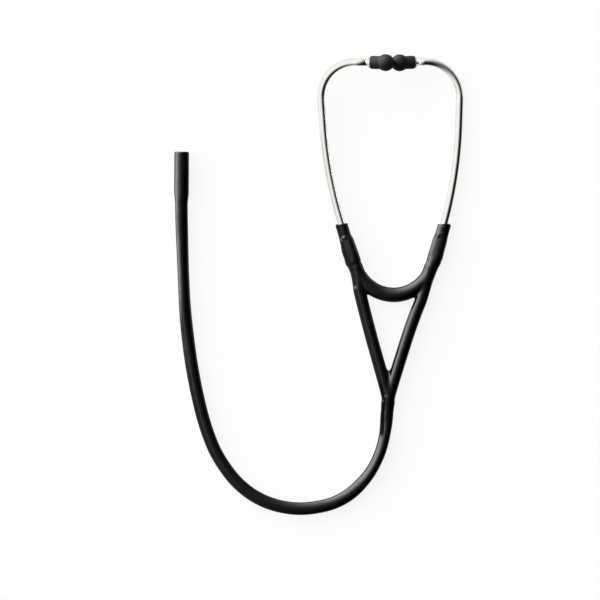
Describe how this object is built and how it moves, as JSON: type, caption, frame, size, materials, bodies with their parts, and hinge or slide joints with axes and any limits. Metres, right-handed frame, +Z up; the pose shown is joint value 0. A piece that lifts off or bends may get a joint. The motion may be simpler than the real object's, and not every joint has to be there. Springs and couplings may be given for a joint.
{
  "type": "stethoscope headset",
  "caption": "Stethoscope headset: two bent metal ear tubes with soft ear tips in one sprung moulded tubing, whose hose ends in an open socket for a chestpiece.",
  "frame": {"origin": "on the surface that the headset lies on, under the middle of the headset's box (hose and socket left out)", "axes": "+Y from the crotch to the ear tips, +X to the right seen from above, +Z up from the surface"},
  "size_m": [0.2076, 0.3314, 0.0301],
  "materials": {
    "moulding": "glossy moulded PVC",
    "ear_tube": "polished plating",
    "ferrule": "polished plating",
    "ear_tip": "matt soft rubber",
    "tip_core": "stiff insert",
    "spring_steel": "rolled strip"
  },
  "bodies": {
    "tubing": {"yoke_arc": "moulding", "left_fork": "moulding", "right_fork": "moulding", "left_branch_tube": "moulding", "right_branch_tube": "moulding", "y_junction": "moulding", "main_hose": "moulding", "chestpiece_socket": "moulding", "leaf_spring": "spring_steel"},
    "left_arm": {"left_sleeve": "moulding", "left_ear_tube": "ear_tube", "left_spring_clip": "spring_steel", "left_clip_rivets": "spring_steel", "left_ferrule": "ferrule"},
    "left_tip": {"left_ear_tip": "ear_tip", "left_ear_tip_core": "tip_core"},
    "right_arm": {"right_sleeve": "moulding", "right_ear_tube": "ear_tube", "right_spring_clip": "spring_steel", "right_clip_rivets": "spring_steel", "right_ferrule": "ferrule"},
    "right_tip": {"right_ear_tip": "ear_tip", "right_ear_tip_core": "tip_core"}
  },
  "joints": [
    {"name": "left_splay", "type": "hinge", "parent": "tubing", "child": "left_arm", "pos_m": [-0.0251, -0.0251, 0.0052], "axis": [0, 0, 1], "range_deg": [0, 30], "stiffness_Nm_per_rad": 1.1, "springref_deg": -5.73, "deforming": ["leaf_spring"]},
    {"name": "left_tip_spin", "type": "hinge", "parent": "left_arm", "child": "left_tip", "pos_m": [-0.0104, 0.12273, 0.02196], "axis": [0.9693, -0.0195, 0.2452], "continuous": true},
    {"name": "right_splay", "type": "hinge", "parent": "tubing", "child": "right_arm", "pos_m": [0.0297, -0.0251, 0.0052], "axis": [0, 0, -1], "range_deg": [0, 30], "stiffness_Nm_per_rad": 1.1, "springref_deg": -5.73, "deforming": ["leaf_spring"]},
    {"name": "right_tip_spin", "type": "hinge", "parent": "right_arm", "child": "right_tip", "pos_m": [0.0132, 0.12294, 0.01284], "axis": [-0.9638, -0.0421, 0.2632], "continuous": true}
  ]
}
